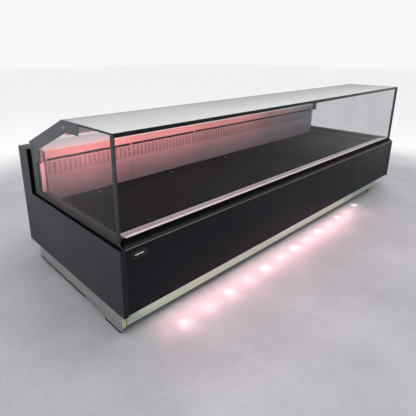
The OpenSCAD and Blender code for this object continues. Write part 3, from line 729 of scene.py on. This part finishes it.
SEGMENTS = {"2": "abged", "5": "afgcd"}
digit_glow = lit("digit_glow", (1.0, 0.12, 0.08), 3.0)
bm = bmesh.new()
seg_l, seg_w = 6.4 * MM, 1.1 * MM
strokes = {"a": (0, 1, 0), "g": (0, 0, 0), "d": (0, -1, 0),
           "f": (-0.5, 0.5, 1), "b": (0.5, 0.5, 1), "e": (-0.5, -0.5, 1), "c": (0.5, -0.5, 1)}
middle_x = (display_x0 + display_x1) / 2
for k, digit in enumerate("25"):
    cx = middle_x + (5.5 - 11 * k) * MM  # read from behind, so the first digit is at higher x
    for stroke in SEGMENTS[digit]:
        u, v, upright = strokes[stroke]
        x, z = cx - u * (seg_l + seg_w * 0.3), display_z + v * (seg_l + seg_w * 0.3)
        w, h = (seg_w, seg_l) if upright else (seg_l, seg_w)
        add_box(bm, (x - w / 2, recess_y + 0.25 * MM, z - h / 2),
                (x + w / 2, recess_y + 0.45 * MM, z + h / 2), 0.08 * MM, 1)
dot_x, dot_z = middle_x, display_z - seg_l - 0.4 * MM
add_box(bm, (dot_x - 0.6 * MM, recess_y + 0.25 * MM, dot_z - 0.6 * MM),
        (dot_x + 0.6 * MM, recess_y + 0.45 * MM, dot_z + 0.6 * MM), 0.08 * MM, 1)
piece("display_digits", bm, digit_glow, smooth=False)

for name in ("controller_button_up", "controller_button_down"):
    lo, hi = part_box(name)
    r, depth = (hi.x - lo.x) / 2, hi.y - lo.y
    at = pointing(((lo.x + hi.x) / 2, lo.y, (lo.z + hi.z) / 2), (0, 1, 0))
    bm = bmesh.new()
    add_lathe(bm, [(0, 0), (r * 0.95, 0), (r, 0.3 * MM), (r, depth - 0.9 * MM),
                   (r * 0.96, depth - 0.35 * MM), (r * 0.86, depth - 0.05 * MM),
                   (r * 0.72, depth), (r * 0.4, depth - 0.25 * MM), (0, depth - 0.35 * MM)], at, 32)
    piece(name + "_cap", bm, FINISH["button_plastic"], name + "_body", [name])

mark = moulded("mark_print", (0.6, 0.6, 0.6), 0.5)
bm = bmesh.new()
for name, up in (("controller_button_up", 1), ("controller_button_down", -1)):
    lo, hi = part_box(name)
    x, z = (lo.x + hi.x) / 2, hi.z + 5 * MM
    tri = [(x - 2.2 * MM, z - up * 1.6 * MM), (x + 2.2 * MM, z - up * 1.6 * MM),
           (x, z + up * 2 * MM)]
    low = [bm.verts.new((a, fascia_hi.y, b)) for a, b in tri]
    high = [bm.verts.new((a, fascia_hi.y + 0.15 * MM, b)) for a, b in tri]
    bm.faces.new(low)
    bm.faces.new(high)
    for k in range(3):
        m = (k + 1) % 3
        bm.faces.new((low[k], low[m], high[m], high[k]))
piece("button_arrows", bm, mark, smooth=False)

lo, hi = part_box("light_switch_rocker")
pivot_y = 1091 * MM + CAD_BOX[0].y
bm = bmesh.new()
cx, cz = (lo.x + hi.x) / 2, (lo.z + hi.z) / 2
half_w, half_h = (hi.x - lo.x) / 2 - 2.2 * MM, (hi.z - lo.z) / 2
outline = [(pivot_y - 4 * MM, -7 * MM), (pivot_y + 3 * MM, -half_h), (hi.y - 0.5 * MM, -half_h),
           (hi.y, -half_h + 0.6 * MM), (hi.y - 0.7 * MM, -half_h * 0.6),
           (hi.y - 1.7 * MM, -half_h * 0.2), (hi.y - 2.2 * MM, half_h * 0.1),
           (hi.y - 2.2 * MM, half_h - 0.6 * MM),
           (hi.y - 2.7 * MM, half_h), (pivot_y + 3 * MM, half_h), (pivot_y - 4 * MM, 7 * MM)]
left = [bm.verts.new((cx - half_w, y, cz + z)) for y, z in outline]
right = [bm.verts.new((cx + half_w, y, cz + z)) for y, z in outline]
bm.faces.new(left)
bm.faces.new(right)
for k in range(len(outline)):
    m = (k + 1) % len(outline)
    bm.faces.new((left[k], left[m], right[m], right[k]))
side_edges = [e for e in bm.edges if abs(e.verts[0].co.x - e.verts[1].co.x) < 1e-6]
bmesh.ops.bevel(bm, geom=side_edges, offset=0.35 * MM, segments=2, affect="EDGES")
add_lathe(bm, [(1.4 * MM, 0), (1.5 * MM, 0.2 * MM), (1.5 * MM, hi.x - lo.x - 0.2 * MM),
               (1.4 * MM, hi.x - lo.x)], pointing((lo.x, pivot_y, cz), (1, 0, 0)), 20)
piece("light_switch_paddle", bm, FINISH["rocker_plastic"],
      "light_switch_rocker_body", ["light_switch_rocker"])

# ---------------------------------------------------------------- stage and lights

world = bpy.data.worlds.new("studio")
bpy.context.scene.world = world
world.use_nodes = True
world.node_tree.nodes["Background"].inputs[0].default_value = WORLD_WHITE

# a plain pale floor, which pales evenly in every direction into a white studio sweep
SWEEP_START, SWEEP_END = 2.3, 3.6  # metres from the middle of the case
bpy.ops.mesh.primitive_plane_add(size=60, location=(0, 0, 0))
floor = bpy.context.object
floor.name = "floor"
s = Shade("floor", 0.4, 0.0, 0.35)
cloud = s.mix(s.span(s.noise(1.7, 12, (1, 1, 1), 0.62), 0, 1), (0.315, 0.31, 0.334),
              (0.44, 0.433, 0.462))
fine = s.mix(s.span(s.noise(30, 6, (1, 1, 1), 0.7), 0, 0.45), cloud, (0.31, 0.305, 0.325))
reach = s.node("ShaderNodeVectorMath", operation="LENGTH")
s.link(s.coords, reach.inputs[0])
sweep = s.span(reach.outputs["Value"], 0, 1, SWEEP_START, SWEEP_END, "SMOOTHSTEP")
s.colour(s.mix(sweep, fine, (0.93, 0.93, 0.94)))
s.rough(s.span(s.noise(3, 6), 0.3, 0.5))
s.bump(s.noise(60, 6), 0.15, 0.002)
floor.data.materials.append(s.mat)


def area_light(name, place, aim, size, power, rgb=(1, 1, 1), size_y=None):
    data = bpy.data.lights.new(name, "AREA")
    data.energy, data.size, data.color = power, size, rgb
    if size_y:
        data.shape, data.size_y = "RECTANGLE", size_y
    ob = bpy.data.objects.new(name, data)
    ob.location = place
    ob.rotation_euler = (Vector(aim) - Vector(place)).to_track_quat("-Z", "Y").to_euler()
    bpy.context.scene.collection.objects.link(ob)
    return ob


area_light("softbox_top", (0.3, -0.4, 3.2), (0, 0, 0), 4.0, 60, (1, 0.99, 0.98), 2.5)
area_light("softbox_left", (-4.0, 0.2, 1.8), (-1.5, 0, 0.4), 2.0, 25)


def strip_light(name, x0, x1, y, z, way, power, rgb, width=0.015):
    """A long thin lamp along x, shining along way."""
    middle = Vector(((x0 + x1) / 2, y, z))
    return area_light(name, middle, middle + Vector(way), x1 - x0, power, rgb, width)


# pink light from the ridge on the rear wall, weaker towards the right end
ridge_lo, ridge_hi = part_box("ridge_lamp_diffuser")
ridge_span = ridge_hi.x - ridge_lo.x
for k, (start, end, density) in enumerate(((0.0, 0.16, 6.2), (0.16, 0.42, 3.4), (0.42, 0.68, 2.3),
                                           (0.68, 0.86, 0.6))):
    lamp = strip_light(f"ridge_lamp_{k}", ridge_lo.x + ridge_span * start,
                       ridge_lo.x + ridge_span * end, ridge_hi.y, ridge_lo.z - 0.006,
                       (0, 0.38, -0.19), density * ridge_span * (end - start), (1, 0.27, 0.25))
    lamp.data.spread = math.radians(60)
lamp_lo, lamp_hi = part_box("front_lamp_diffuser")
strip_light("front_lamp", lamp_lo.x, lamp_hi.x, lamp_hi.y, lamp_lo.z - 0.004, (0, 0.05, -0.45),
            3.0, (1, 0.86, 0.88))

# the strip under the front panel: it lights the kick plate, the floor and a row of pools
glow_lo, glow_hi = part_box("underglow_profile")
kick_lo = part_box("kick_plates")[0]
strip_light("kick_wash", glow_lo.x - 0.15, glow_hi.x, glow_lo.y + 0.004, glow_lo.z - 0.003,
            (0, kick_lo.y - glow_lo.y, -0.05), 0.4, (0.96, 1, 0.88), 0.006)
strip_light("floor_wash", glow_lo.x - 0.05, glow_hi.x - 0.1, glow_lo.y - 0.03, glow_lo.z,
            (0, -0.16, -0.1), 3.4, (1, 0.47, 0.52), 0.03)
lenses = islands("underglow_lenses")
for k, (lo, hi) in enumerate(lenses):
    data = bpy.data.lights.new(f"underglow_{k}", "SPOT")
    data.energy, data.color = (1.0, 0.55)[k % 2], (1, 0.76, 0.79)
    data.spot_size, data.spot_blend, data.shadow_soft_size = math.radians(44), 1.0, 0.004
    ob = bpy.data.objects.new(data.name, data)
    ob.location = ((lo.x + hi.x) / 2, lo.y - 0.035, lo.z - 0.004)
    drift = 0.10 * (1 - k / (len(lenses) - 1))
    aim = Vector((ob.location.x, ob.location.y - drift, 0))
    ob.rotation_euler = (aim - ob.location).to_track_quat("-Z", "Y").to_euler()
    bpy.context.scene.collection.objects.link(ob)
